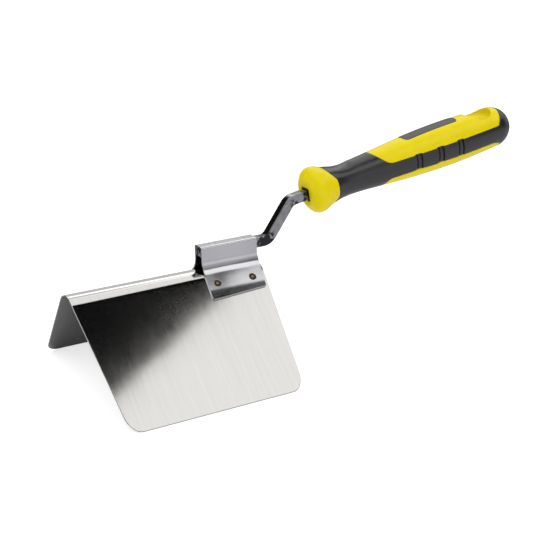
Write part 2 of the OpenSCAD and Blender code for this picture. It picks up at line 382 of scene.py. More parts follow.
def weld_and_turn(mesh):
    """Joins points that meet, drops empty faces and turns every face outwards."""
    work = bmesh.new()
    work.from_mesh(mesh)
    bmesh.ops.remove_doubles(work, verts=work.verts, dist=2e-6)
    bmesh.ops.dissolve_degenerate(work, edges=work.edges, dist=1e-7)
    bmesh.ops.recalc_face_normals(work, faces=work.faces)
    work.to_mesh(mesh)
    work.free()


def sheet(place, outer, holes, loose, thickness, rings, hole_rings=None):
    """A bent sheet from a flat pattern, with the same rounding on every edge of both faces.

    place turns pattern points and a depth below the outer face into points in space.
    rings are (inset, depth) pairs from the edge inwards."""
    patch = Patch()
    loops = [(np.asarray(outer), rings)] + [(np.asarray(hole), hole_rings or rings) for hole in holes]
    lines = [[inset(loop, width, True) for width, _ in steps] for loop, steps in loops]
    inner = [line[-1] for line in lines]
    keep = is_inside(loose, inner[0]) & far_from(loose, np.vstack(inner), 0.35)
    for hole in inner[1:]:
        keep &= ~is_inside(loose, hole)
    points, found = triangles(inner[0], loose[keep], inner[1:])
    edge_rows = []
    for back in (False, True):
        middle = patch.add(place(points, np.full(len(points), thickness if back else 0.0)))
        patch.fill(middle, found, flip=back)
        start = 0
        for i, ((loop, steps), line) in enumerate(zip(loops, lines)):
            row = middle[start:start + len(loop)]
            start += len(loop)
            for (_, depth), ring in reversed(list(zip(steps, line))[:-1]):
                level = thickness - depth if back else depth
                wider = patch.add(place(ring, np.full(len(loop), level)))
                patch.strip(wider, row, closed=True)
                row = wider
            if back:
                patch.strip(edge_rows[i], row, closed=True)
            else:
                edge_rows.append(row)
    return patch


class Section:
    """Half of a symmetrical cross-section in Y and Z, followed by the distance along it."""

    def __init__(self):
        self.line = []
        self.normal = []

    def arc(self, y, z, radius, start, end, hollow=False):
        """Adds an arc; angles are from +Y. A hollow arc's outer side faces its centre."""
        turn = np.linspace(start, end, max(2, math.ceil(abs(end - start) * radius / 0.15)))
        out = np.column_stack([np.cos(turn), np.sin(turn)])
        self.line.append(np.array([y, z]) + radius * out)
        self.normal.append(-out if hollow else out)

    def straight(self, end):
        """Adds a straight run in line with what comes before it."""
        self.line.append(np.array([end], float))
        self.normal.append(self.normal[-1][-1:])

    def close(self):
        """Joins the parts, and drops points that are doubled where two parts meet."""
        line, normal = np.vstack(self.line), np.vstack(self.normal)
        keep = np.concatenate([[True], np.linalg.norm(np.diff(line, axis=0), axis=1) > 1e-6])
        self.line, self.normal = line[keep], normal[keep]
        self.along = lengths(self.line)
        return self

    def at(self, along):
        """Points and normals at distances along the section."""
        line = np.column_stack([np.interp(along, self.along, self.line[:, k]) for k in (0, 1)])
        normal = np.column_stack([np.interp(along, self.along, self.normal[:, k]) for k in (0, 1)])
        return line, normal / np.linalg.norm(normal, axis=1)[:, None]

    def place(self, pattern, depth):
        """Pattern points (x, distance across) and their depth below the outer face, in space."""
        side = np.where(pattern[:, 1] < 0, -1.0, 1.0)
        line, normal = self.at(np.abs(pattern[:, 1]))
        found = line - normal * depth[:, None]
        return np.column_stack([pattern[:, 0], side * found[:, 0], found[:, 1]])

    def distance_at_height(self, z):
        """Distance along the section where it comes down to height z."""
        return np.interp(-z, -self.line[:, 1], self.along)


def both_sides(front_to_rear):
    """Closed pattern from the part on the +Y side, given from the front edge to the rear one."""
    mirrored = front_to_rear[::-1] * np.array([1, -1])
    return np.vstack([mirrored, front_to_rear])[::-1]


# ---------------------------------------------------------------- blade

def blade_piece(material):
    """Folded sheet with leaning short edges, rounded free corners and softened cut edges."""
    section = Section()
    section.arc(0, FOLD_CENTRE_Z, FOLD_R, math.pi / 2, math.pi / 2 - (math.pi / 2 - HALF_ANGLE))
    tip = np.array([WING_W * WING_DOWN[0], CORNER_Z + WING_W * WING_DOWN[1]])
    section.straight(tip)
    section.close()
    arc_end = section.line[-2]
    low = BLADE_LOW[2]
    front, rear = BLADE_LOW[0], BLADE_HIGH[0]
    flat = np.linalg.norm(tip - arc_end)
    lean = flat * math.tan(EDGE_TAPER)
    side_view = rounded([(front, arc_end[1], 0), (front + lean, low, CORNER_R),
                         (rear - lean, low, CORNER_R), (rear, arc_end[1], 0)], closed=False)
    across = section.along[-2] + (arc_end[1] - side_view[:, 1]) / (arc_end[1] - low) * flat
    wing = np.column_stack([side_view[:, 0], across])
    outer = spaced(both_sides(wing), 1.2, closed=True)
    fold_half = section.along[-2]
    last_row = 90.0
    rows = np.concatenate([np.arange(0.4, fold_half, 0.8), np.arange(fold_half + 0.6, last_row, 4.0)])
    loose = lattice(np.arange(front + 2, rear - 1, 4.0), np.concatenate([-rows[::-1], rows]))
    rings = [(0.0, 0.26), (0.05, 0.11), (0.14, 0.03), (0.28, 0.0), (0.32, 0.0)]
    patch = sheet(section.place, outer, [], loose, SHEET, rings)
    return piece("blade_sheet", patch, material, ["blade"], weighted=True)


# ---------------------------------------------------------------- saddle bracket and its welds

def saddle_section():
    """Outer side of the bracket's sheet, from the middle of its top to below its flange."""
    wall = SADDLE_W / 2
    down = (wall - SADDLE_T * WING_OUT[0]) / WING_DOWN[0]
    meet_z = CORNER_Z + SADDLE_T * WING_OUT[1] + down * WING_DOWN[1]
    tangent = FLARE_R * math.tan(HALF_ANGLE / 2)
    section = Section()
    section.line.append(np.array([[0.0, SADDLE_TOP]]))
    section.normal.append(np.array([[0.0, 1.0]]))
    section.arc(wall - CHANNEL_EDGE_R, SADDLE_TOP - CHANNEL_EDGE_R, CHANNEL_EDGE_R, math.pi / 2, 0)
    section.arc(wall + FLARE_R, meet_z + tangent, FLARE_R, math.pi, math.pi + HALF_ANGLE, hollow=True)
    beyond_flange = 1.3 * FLANGE_REACH
    flange_end = np.array([0, CORNER_Z]) + SADDLE_T * WING_OUT + beyond_flange * WING_DOWN
    section.straight(flange_end)
    section.close()
    lip_steps = np.linspace(section.along[-2], section.along[-1], 90)
    along = np.concatenate([section.along[:-1], lip_steps[1:]])
    line, normal = section.at(along)
    down = (line - np.array([0, CORNER_Z])) @ WING_DOWN
    turned = LIP_TILT * np.clip((down - FLANGE_REACH + LIP_LEN) / LIP_BEND, 0, 1)
    lift = np.concatenate([[0], np.cumsum(np.diff(along) * np.tan((turned[1:] + turned[:-1]) / 2))])
    section.line, section.along = line + lift[:, None] * WING_OUT, along
    section.normal = normal - np.tan(turned)[:, None] * WING_DOWN
    section.normal /= np.linalg.norm(section.normal, axis=1)[:, None]
    return section


def on_flange(x, down, side):
    """Frame of a spot on a flange's outer face: origin, two directions in the face, and outwards."""
    out = np.array([0, side * WING_OUT[0], WING_OUT[1]])
    slope = np.array([0, side * WING_DOWN[0], WING_DOWN[1]])
    corner = np.array([x, 0, CORNER_Z])
    return corner + down * slope + SADDLE_T * out, np.array([1.0, 0, 0]), slope, out


def saddle_piece(material):
    """Bent channel with flared flanges, with a hole at each weld."""
    section = saddle_section()
    low = CORNER_Z - FLANGE_REACH * math.cos(HALF_ANGLE)
    waist = CORNER_Z - WAIST_DROP
    side_view = rounded([(SADDLE_FRONT, SADDLE_TOP - CHANNEL_EDGE_R, 0),
                         (SADDLE_FRONT, waist, 4),
                         (SADDLE_FRONT - FRONT_LEAN, low, 1.2),
                         (SADDLE_REAR - REAR_LEAN, low + REAR_LIFT, 1.2),
                         (SADDLE_REAR, waist, 4),
                         (SADDLE_REAR, SADDLE_TOP - CHANNEL_EDGE_R, 0)], closed=False)
    side_view = spaced(side_view, 0.5)
    half = np.column_stack([side_view[:, 0], section.distance_at_height(side_view[:, 1])])
    outer = spaced(both_sides(half), 0.6, closed=True)
    holes = []
    for side in (-1, 1):
        for x, down in spot_places():
            z = CORNER_Z + SADDLE_T * WING_OUT[1] + down * WING_DOWN[1]
            middle = side * float(section.distance_at_height(z))
            holes.append(arc(x, middle, SPOT_R + 0.02, 2 * math.pi, 0, 40)[:-1])
    for x in PLUG_PLACES:
        holes.append(arc(SADDLE_FRONT + x, 0, PLUG_R + 0.02, 2 * math.pi, 0, 40)[:-1])
    last_row = section.along[-1]
    rows = np.concatenate([[0.9, 1.8, 2.6], np.arange(3.0, 6.0, 0.25), np.arange(6.2, last_row, 0.8)])
    loose = lattice(np.arange(SADDLE_FRONT - 1, SADDLE_REAR, 1.2),
                    np.concatenate([-rows[::-1], [0.0], rows]))
    rings = [(0.0, 0.17), (0.03, 0.08), (0.08, 0.02), (0.17, 0.0), (0.21, 0.0)]
    hole_rings = [(0.0, 0.1), (0.03, 0.03), (0.07, 0.01), (0.12, 0.0), (0.15, 0.0)]
    patch = sheet(section.place, outer, holes, loose, SADDLE_T, rings, hole_rings)
    return piece("saddle_channel", patch, material, ["saddle_bracket"], weighted=True)


def spot_places():
    """The two spot welds of one flange: place along X and distance down the wing."""
    return [(SADDLE_FRONT + FRONT_SPOT[0], FRONT_SPOT[1]), (SADDLE_REAR - REAR_SPOT[0], REAR_SPOT[1])]


def lathe(patch, frame_of, profile, steps=40):
    """A small turned button: profile is (radius, height) from the middle of its face to its back."""
    origin, first, second, out = frame_of
    turn = np.arange(steps)[:, None] * 2 * math.pi / steps
    around = np.cos(turn) * first + np.sin(turn) * second
    places = [origin + height * out for _, height in profile]
    rows = [place + radius * around for place, (radius, _) in zip(places, profile)]
    rings = patch.over(rows[1:-1], closed=True)
    patch.fan(rings[0], places[0])
    patch.fan(rings[-1], places[-1])


def weld_pieces(node, places, profile, material):
    """A turned button at each place, {name: frame of its face}. Together they replace a CAD node."""
    for name, frame_of in places.items():
        patch = Patch()
        lathe(patch, frame_of, profile)
        piece(name, patch, material)
    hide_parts(node)


def spot_weld_pieces(material):
    """Dimpled marks that the welding tips leave in the flanges."""
    profile = [(0, -0.16), (0.5, -0.16), (1.0, -0.13), (1.4, -0.05), (1.65, 0.03), (1.85, 0.07),
               (2.05, 0.06), (2.25, 0.0), (2.36, -0.08), (SPOT_R, -0.16),
               (SPOT_R, -SADDLE_T + 0.05), (SPOT_R - 0.05, -SADDLE_T), (0, -SADDLE_T)]
    places = {f"spot_weld_{word}_{end}": on_flange(x, down, side)
              for side, word in ((-1, "right"), (1, "left"))
              for (x, down), end in zip(spot_places(), ("front", "rear"))}
    weld_pieces("flange_spot_welds", places, profile, material)


def plug_weld_pieces(material):
    """Plug welds through the channel's top, ground flush."""
    profile = [(0, -0.03), (0.8, -0.02), (1.5, 0.0), (1.9, -0.01), (2.08, -0.06), (PLUG_R, -0.14),
               (PLUG_R, -SADDLE_T + 0.05), (PLUG_R - 0.05, -SADDLE_T), (0, -SADDLE_T)]
    places = {f"plug_weld_{end}": (np.array([SADDLE_FRONT + x, 0, SADDLE_TOP]), *np.eye(3))
              for x, end in zip(PLUG_PLACES, ("front", "rear"))}
    weld_pieces("channel_plug_welds", places, profile, material)


# ---------------------------------------------------------------- shank

def shank_corners():
    """Where the bar's middle line would turn sharply, low and high, and where it enters the handle."""
    low_corner = np.array([SADDLE_FRONT + CRANK_BACK, SADDLE_TOP - SADDLE_T - BAR / 2])
    mouth = (HANDLE_START - TANG_DROP * HANDLE_UP)[[0, 2]]
    x, z = mouth - low_corner
    rise = (x * ALONG[1] - z * ALONG[0]) / (RISING[0] * ALONG[1] - RISING[1] * ALONG[0])
    return low_corner, low_corner + rise * RISING, mouth


def shank_route():
    """Middle line of the bar in X and Z, with its direction, from the saddle to the tang's end."""
    low_corner, high_corner, mouth = shank_corners()
    low_cut = BEND_R * math.tan(CRANK_ANGLE / 2)
    high_cut = BEND_R * math.tan((CRANK_ANGLE - HANDLE_TILT) / 2)
    route = []

    def run(start, end, direction, gap=1.5):
        steps = max(2, math.ceil(np.linalg.norm(end - start) / gap))
        angle = math.atan2(direction[1], direction[0])
        for share in np.linspace(0, 1, steps + 1):
            route.append((*(start + (end - start) * share), angle))

    def bend(start, first, last):
        side = math.copysign(1, last - first)
        centre = start + BEND_R * side * np.array([-math.sin(first), math.cos(first)])
        for angle in np.linspace(first, last, BEND_STEPS + 1)[1:-1]:
            back = -BEND_R * side * np.array([-math.sin(angle), math.cos(angle)])
            route.append((*(centre + back), angle))

    low_in, low_out = low_corner - low_cut * LEVEL, low_corner + low_cut * RISING
    high_in, high_out = high_corner - high_cut * RISING, high_corner + high_cut * ALONG
    front = np.array([SHANK_FRONT, low_corner[1]])
    tang_end = mouth + TANG_DEPTH * ALONG
    route.append((*front, 0.0))
    run(front + END_CHAMFER * LEVEL, low_in, LEVEL)
    bend(low_in, 0.0, CRANK_ANGLE)
    run(low_out, high_in, RISING)
    bend(high_in, CRANK_ANGLE, HANDLE_TILT)
    run(high_out, tang_end - END_CHAMFER * ALONG, ALONG)
    route.append((*tang_end, HANDLE_TILT))
    return np.array(route)


def bar_ring():
    """Cross-section of the bar, sideways and upwards, with rounded edges."""
    half = BAR / 2
    corners = [(y * half, z * half, BAR_EDGE) for y, z in ((1, 1), (-1, 1), (-1, -1), (1, -1))]
    return spaced(rounded(corners, step=math.radians(15)), 1.2, closed=True)


def shank_piece(material):
    """Square bar with two forged bends, and notches across its tang."""
    patch = Patch()
    route = shank_route()
    mouth = HANDLE_START - TANG_DROP * HANDLE_UP
    rows = []
    for i, (x, z, angle) in enumerate(route):
        here = np.array([x, 0, z])
        depth = (here - mouth) @ HANDLE_ALONG
        at_end = i in (0, len(route) - 1)
        ring = bar_ring() * (1 - 2 * END_CHAMFER / BAR if at_end else 1)
        if any(abs(depth - place) < NOTCH_LEN / 2 for place in NOTCH_PLACES):
            ring[:, 1] = np.clip(ring[:, 1], NOTCH_DEPTH - BAR / 2, BAR / 2 - NOTCH_DEPTH)
        up = np.array([-math.sin(angle), 0, math.cos(angle)])
        rows.append(here + ring[:, 1:] * up + ring[:, :1] * np.array([0, 1.0, 0]))
    rings = patch.over(rows, closed=True)
    for ring, (x, z, _) in ((rings[0], route[0]), (rings[-1], route[-1])):
        patch.fan(ring, np.array([x, 0, z]))
    return piece("shank_bar", patch, material, ["shank"], sharp=50)


# ---------------------------------------------------------------- handle

def handle_outline():
    """The handle's outline as a fine line of (distance along, radius), ending at the butt's tip."""
    table = np.array(PROFILE, float)
    last = len(table) - 1

    def slope(i):
        a, b = table[max(i - 1, 0)], table[min(i + 1, last)]
        return (b[1] - a[1]) / (b[0] - a[0])

    points = []
    for i in range(last):
        (s0, r0), (s1, r1) = table[i], table[i + 1]
        step = s1 - s0
        for t in np.linspace(0, 1, max(6, int(step * 3)), endpoint=False):
            keep = (1 + 2 * t) * (1 - t) ** 2
            radius = (keep * r0 + (1 - keep) * r1 + step * t * (1 - t) ** 2 * slope(i)
                      - step * (1 - t) * t ** 2 * slope(i + 1))
            points.append((s0 + t * step, radius))
    butt = arc(BUTT_S, 0, BUTT_R, math.pi / 2, 0, 60)
    return np.vstack([points, butt])


OUTLINE = handle_outline()
OUTLINE_M = lengths(OUTLINE)
OUTLINE_OUT = np.gradient(OUTLINE, OUTLINE_M, axis=0)[:, ::-1] * np.array([-1, 1])
# pattern coordinates of the handle: distance along its outline, and angle from the top times this
ROUND_R = 13.5
BOTTOM = math.pi * ROUND_R
TURNS = 40
CAP_M = OUTLINE_M[-1] - 0.35 * BUTT_R


def radius_at(s):
    return np.interp(s, OUTLINE[:, 0], OUTLINE[:, 1])


def along_at(s):
    """Distance along the outline at a distance s from the collar's front face."""
    return np.interp(s, OUTLINE[:, 0], OUTLINE_M)


def s_at(along):
    return np.interp(along, OUTLINE_M, OUTLINE[:, 0])


def in_handle(s, y, up):
    """Points in space from the handle's own frame."""
    s, y, up = np.broadcast_arrays(np.asarray(s, float), y, up)
    return (HANDLE_START + s[..., None] * HANDLE_ALONG + y[..., None] * np.array([0, 1.0, 0])
            + up[..., None] * HANDLE_UP)


def on_handle(pattern, depth):
    """Pattern points of the handle, at a depth below its outer surface, in space."""
    angle = pattern[:, 1] / ROUND_R
    s = np.interp(pattern[:, 0], OUTLINE_M, OUTLINE[:, 0])
    radius = np.interp(pattern[:, 0], OUTLINE_M, OUTLINE[:, 1])
    out = np.column_stack([np.interp(pattern[:, 0], OUTLINE_M, OUTLINE_OUT[:, k]) for k in (0, 1)])
    out /= np.linalg.norm(out, axis=1)[:, None]
    s = s - depth * out[:, 0]
    radius = np.maximum(radius - depth * out[:, 1], 0)
    return in_handle(s, radius * np.sin(angle), radius * np.cos(angle))


def from_side(line, gap=0.45):
    """A side-view line (s, up) drawn on the handle, as an even pattern line."""
    line = spaced(line, 0.05)
    line = line[np.abs(line[:, 1]) <= radius_at(line[:, 0]) + 1e-9]
    angle = np.arccos(np.clip(line[:, 1] / radius_at(line[:, 0]), -1, 1))
    return even(np.column_stack([along_at(line[:, 0]), angle * ROUND_R]), gap)


def from_above(line, underneath=False):
    """A plan-view line (s, y) drawn on the top or the underside of the handle, as pattern points."""
    angle = np.arcsin(np.clip(line[:, 1] / radius_at(line[:, 0]), -1, 1))
    if underneath:
        angle = math.pi - angle
    return np.column_stack([along_at(line[:, 0]), angle * ROUND_R])


def drawn(corners, start, end):
    """Side-view corners drawn on the handle, from the start to the end, each its top or bottom line."""
    line = from_side(rounded(corners, closed=False))
    return even(np.vstack([[line[0, 0], start], line, [line[-1, 0], end]]), 0.45)


def collar_line():
    """Rear edge of the yellow collar, from underneath to the top."""
    corners = [(COLLAR_TOP, -13.6, 0), (COLLAR_REAR, -5.6, 2.5), (COLLAR_REAR, 5.6, 2.5),
               (COLLAR_TOP, 13.6, 0)]
    return drawn(corners, BOTTOM, 0.0)


def panel_line():
    """Edge of the top panel, from its front on the top line to its rear on the top line."""
    corners = [(PANEL_FRONT, 12, 0), (PANEL_FRONT + 8.3, PANEL_EDGE, 9)]
    for s in GROOVES:
        for back, rise in ((-3.2, 0), (-2, 0.6), (2, 0.6), (3.2, 0)):
            corners.append((s + back, PANEL_EDGE + rise, 0.5))
    corners += [(PANEL_REAR, PANEL_EDGE, 1.4), (PANEL_REAR + 6.0, 13, 0)]
    return drawn(corners, 0.0, 0.0)


def strip_line():
    """Edge of the strip underneath, from its rear to its front on the bottom line."""
    corners = [(BUTT_S, -13.9, 0), (BUTT_S, -9.4, 0.8), (BUTT_S - 7, STRIP_EDGE - 0.4, 6)]
    for front, rear, rise in ((GROOVES[2] - 3, GROOVES[2], (-0.3, -0.4)),
                              (GROOVES[1] - 3, GROOVES[1], (-0.2, 0.2))):
        corners += [(rear, STRIP_EDGE + rise[1], 0.6), (front, STRIP_EDGE + rise[0], 0.6)]
    corners += [(GROOVES[0], STRIP_EDGE + 0.4, 2), (STRIP_FRONT + 6, STRIP_EDGE, 4), (STRIP_FRONT, -12.2, 0)]
    return drawn(corners, BOTTOM, BOTTOM)


def plaque_line():
    """Edge of the plaque, from its front on the top line to its rear on the top line."""
    front, rear, side = PLAQUE_S - PLAQUE_LEN / 2, PLAQUE_S + PLAQUE_LEN / 2, PLAQUE_W / 2
    corners = [(front, 0, 0), (front, side, PLAQUE_R), (rear, side, PLAQUE_R), (rear, 0, 0)]
    return even(from_above(spaced(rounded(corners, closed=False), 0.3)), 0.45)


class HalfSkin(Patch):
    """Part of the handle's surface on the +Y side, between edges drawn on the handle."""

    def region(self, parts, gap, relief=None, extra=None):
        """Fills a region. parts go round it with the region on their left: each is a line and its
        rounding rings, (inset, depth) from the edge inwards.
        The first of several rings lies against a neighbour, so the relief leaves it alone.
        Where one part ends on the top or bottom line, the next begins further along that line."""
        relief = relief or (lambda pattern: np.zeros(len(pattern)))
        lines = [[inset(line, width, False) if width else line for width, _ in rings]
                 for line, rings in parts]
        base = min(rings[-1][1] for _, rings in parts)
        loop = []
        spans = []
        for i, line in enumerate(lines):
            spans.append((sum(len(p) for p in loop), len(line[-1])))
            loop.append(line[-1])
            following = lines[(i + 1) % len(lines)][-1][0]
            if np.linalg.norm(following - line[-1][-1]) > 1e-6:
                link = spaced(np.array([line[-1][-1], following]), gap)[1:-1]
                loop.append(link)
            else:
                loop[-1] = line[-1][:-1]
        loop = np.vstack(loop)
        low, high = loop.min(axis=0), loop.max(axis=0)
        loose = lattice(np.arange(low[0] + gap / 2, high[0], gap), np.arange(low[1] + gap / 2, high[1], gap))
        loose = loose[far_from(loose, loop, 0.55 * gap)]
        if extra is not None:
            loose = loose[far_from(loose, extra, 0.55 * gap)]
            loose = np.vstack([loose, extra[far_from(extra, loop, 0.25)]])
        loose = loose[is_inside(loose, loop)]
        points, found = triangles(loop, loose)
        middle = self.add(on_handle(points, base + relief(points)))
        self.fill(middle, found)
        for (start, count), line, (_, rings) in zip(spans, lines, parts):
            row = middle[(start + np.arange(count)) % len(loop)]
            for k in range(len(rings) - 2, -1, -1):
                ring = line[k]
                level = rings[k][1] + (relief(ring) if k else np.zeros(len(ring)))
                wider = self.add(on_handle(ring, level))
                self.strip(wider, row)
                row = wider

    def butt(self, depth):
        """Closes the butt beyond CAP_M."""
        self.over(on_handle(across_line(along), np.full(TURNS + 1, depth))
                  for along in np.linspace(CAP_M, OUTLINE_M[-1], 7))


def across_line(along):
    """Pattern line round half the handle, from the top to the bottom."""
    return np.column_stack([np.full(TURNS + 1, along), np.linspace(0, BOTTOM, TURNS + 1)])


def grip_parts(rings):
    """Round the grip's region: panel edge, butt, strip edge and collar edge."""
    cap = [(0.0, rings[-1][1])]
    return [(panel_line(), rings), (across_line(CAP_M), cap), (strip_line(), rings), (collar_line(), rings)]


def swell(x):
    """A smooth bump that is 1 at 0 and ends at -1 and 1."""
    return np.where(np.abs(x) < 1, (1 - np.minimum(x * x, 1)) ** 2, 0.0)


def eased(x):
    """0 up to 0, 1 from 1 on, with a smooth step between."""
    x = np.clip(x, 0, 1)
    return x * x * (3 - 2 * x)


def grip_relief(pattern):
    """Finger grooves across the sides, and a shallow thumb rest on top of the neck."""
    s = s_at(pattern[:, 0])
    angle = pattern[:, 1] / ROUND_R
    rear = THUMB_REAR - 3.5 * (angle / THUMB_ANGLE) ** 2
    depth = THUMB_DEPTH * eased((s - THUMB_FRONT) / 9) * eased((rear - s) / 6) * swell(angle / THUMB_ANGLE)
    for groove in GROOVES:
        away = np.abs(s - groove)
        carved = GROOVE_FLOOR * eased((GROOVE_W / 2 + 0.2 - away) / 0.4)
        for place, half, deep in GROOVE_SLOTS:
            away = np.abs(s - groove - place)
            carved = np.maximum(carved, deep * eased((half + 0.15 - away) / 0.35))
        depth = depth + carved
    return depth


def groove_points():
    """Extra pattern points that follow the walls of the finger grooves."""
    offsets = np.array([-2.85, -2.55, -2.4, -2.25, -2.05, -1.6, -1.15, -0.9, -0.75, 0.0, 0.8,
                        1.4, 1.6, 1.75, 2.0, 2.25, 2.4, 2.55, 2.85])
    s = np.concatenate([groove + offsets for groove in GROOVES])
    return lattice(along_at(s), np.arange(0.4, BOTTOM, 0.8))


def grip_piece(material):
    """Soft overmould: sides, neck and butt in one shot, with rounded edges beside the shell."""
    skin = HalfSkin()
    rings = [(0.0, SOFT_T), (0.0, 0.5), (0.06, 0.27), (0.18, 0.1), (0.34, 0.02), (0.55, 0.0)]
    skin.region(grip_parts(rings), gap=0.9, relief=grip_relief, extra=groove_points())
    skin.butt(0.0)
    skin.region(grip_parts([(0.0, SOFT_T)]), gap=2.0)
    skin.butt(SOFT_T)
    return piece("soft_overmould", skin, material, ["soft_grip"], mirror=True)


def shell_relief(pattern):
    """Small dents that the mould leaves in the panel above each groove."""
    s = s_at(pattern[:, 0])
    up = radius_at(s) * np.cos(pattern[:, 1] / ROUND_R)
    depth = np.zeros(len(pattern))
    for groove in GROOVES:
        away = np.hypot((s - groove + DENT_AHEAD) / DENT_LEN, (up - PANEL_EDGE - DENT_RISE) / DENT_H)
        depth = depth + DENT_DEPTH * swell(away)
    return depth


def dent_points():
    """Extra pattern points round the dents."""
    points = []
    for groove in GROOVES:
        middle = from_side(np.array([[groove - DENT_AHEAD, PANEL_EDGE + DENT_RISE],
                                     [groove - DENT_AHEAD + 0.1, PANEL_EDGE + DENT_RISE]]))[0]
        reach = np.arange(-2.4, 2.41, 0.4)
        points.append(middle + lattice(reach, reach))
    return np.vstack(points)


def dish_rows():
    """Rows of points down the hanging hole, each from its front round the +Y side to its rear."""
    turn = np.linspace(0, math.pi, TURNS + 1)

    def plan(radius):
        return HANG_S - radius * np.cos(turn), radius * np.sin(turn)

    def surface(radius):
        s, y = plan(radius)
        return np.sqrt(radius_at(s) ** 2 - y ** 2)

    def row(radius, up):
        return in_handle(*plan(radius), up)

    rows = []
    for out, drop in ((0.75, 0.0), (0.5, 0.04), (0.28, 0.14), (0.1, 0.32), (0.0, 0.6)):
        rows.append(row(DISH_R + out, surface(DISH_R + out) - drop))
    rim = surface(DISH_R) - 0.6
    for t in np.linspace(0, math.pi / 2, 9)[1:]:
        up = rim - (rim - DISH_FLOOR) * math.sin(t)
        rows.append(row(DISH_R - DISH_ROUND * (1 - math.cos(t)), up))
    for radius, up in ((5.8, 8.35), (4.8, 7.87), (4.2, 7.55), (3.92, 7.25), (HANG_R, 6.7), (HANG_R, 0.0),
                       (HANG_R, BORE_FOOT + 0.3)):
        rows.append(row(radius, up))
    # the bore's countersunk foot, found by repetition because it opens with the handle's curve
    mouth = np.full(TURNS + 1, HANG_R)
    for _ in range(30):
        mouth = HANG_R + surface(mouth) + BORE_FOOT
    for out, lift in ((-0.25, 0.25), (-0.05, 0.12), (0.15, 0.04)):
        rows.append(row(mouth + out, -surface(mouth + out) + lift))
    rows.append(row(mouth + 0.35, -surface(mouth + 0.35)))
    top = np.column_stack(plan(DISH_R + 0.75))
    foot = np.column_stack(plan(mouth + 0.35))
    return rows, from_above(top), from_above(foot[::-1], underneath=True)


def core_cavity(skin):
    """Front face of the collar and the cavity that the core fills, up to its closed end."""
    angle = np.linspace(0, math.pi, TURNS + 1)
    side, up = np.sin(angle), np.cos(angle)
    square = (np.abs(side) ** SQUARENESS + np.abs(up) ** SQUARENESS) ** (-1 / SQUARENESS)
    half = BAR / 2 + CORE_RIM + 0.02
    rim = PROFILE[0][1]
    rows = []
    for share, s in ((0, 0), (0.35, 0), (0.7, 0), (0.93, 0), (0.98, 0.06), (1, 0.2), (1, BOSS_LEN - 2)):
        radius = rim + (half * square - rim) * share
        rows.append(in_handle(s, radius * side, radius * up - TANG_DROP * share))
    for radius, s in ((CORE_R, BOSS_LEN - 2), (CORE_R, CORE_END), (0, CORE_END)):
        rows.append(in_handle(s, radius * side, radius * up))
    skin.over(rows)


def shell_piece(material):
    """Hard shell: collar, top panel and strip underneath standing up between the grip's parts."""
    skin = HalfSkin()
    buried = SOFT_T + 0.02
    edge = [(0.0, buried), (0.0, 0.34), (0.05, 0.16), (0.14, 0.05), (0.3, 0.0)]
    pocket = PLAQUE_SINK + 0.02
    pocket_edge = [(0.0, pocket), (0.0, 0.16), (0.05, 0.05), (0.18, 0.0)]
    rows, dish_top, dish_foot = dish_rows()
    front = across_line(0.0)[::-1]
    plain = [(0.0, 0.0)]
    skin.region([(collar_line()[::-1], edge), (front, plain)], gap=1.0)
    skin.region([(plaque_line(), pocket_edge), (dish_top, plain), (panel_line()[::-1], edge)],
                gap=1.1, relief=shell_relief, extra=dent_points())
    skin.region([(dish_foot, plain), (strip_line()[::-1], edge)], gap=1.1)
    skin.region([(plaque_line()[::-1], [(0.0, pocket)])], gap=2.0)
    skin.region(grip_parts([(0.0, buried)]), gap=2.2)
    skin.butt(buried)
    skin.over(rows)
    core_cavity(skin)
    return piece("hard_shell", skin, material, ["handle_shell"], mirror=True)


def plaque_piece(material):
    """Blank plaque set into the top panel, with a raised frame round a sunk field."""
    skin = HalfSkin()
    rings = [(0.0, PLAQUE_SINK), (0.0, 0.05), (0.06, -0.06), (0.18, -PLAQUE_PROUD + 0.02),
             (0.3, -PLAQUE_PROUD), (0.75, -PLAQUE_PROUD), (0.85, -PLAQUE_PROUD + 0.03),
             (0.95, -0.02), (1.05, 0.0)]
    skin.region([(plaque_line()[::-1], rings)], gap=1.2)
    skin.region([(plaque_line()[::-1], [(0.0, PLAQUE_SINK)])], gap=2.0)
    return piece("plaque_insert", skin, material, ["handle_plaque"], mirror=True)


# ---------------------------------------------------------------- materials

def colour(red, green, blue):
    return (red, green, blue, 1.0)


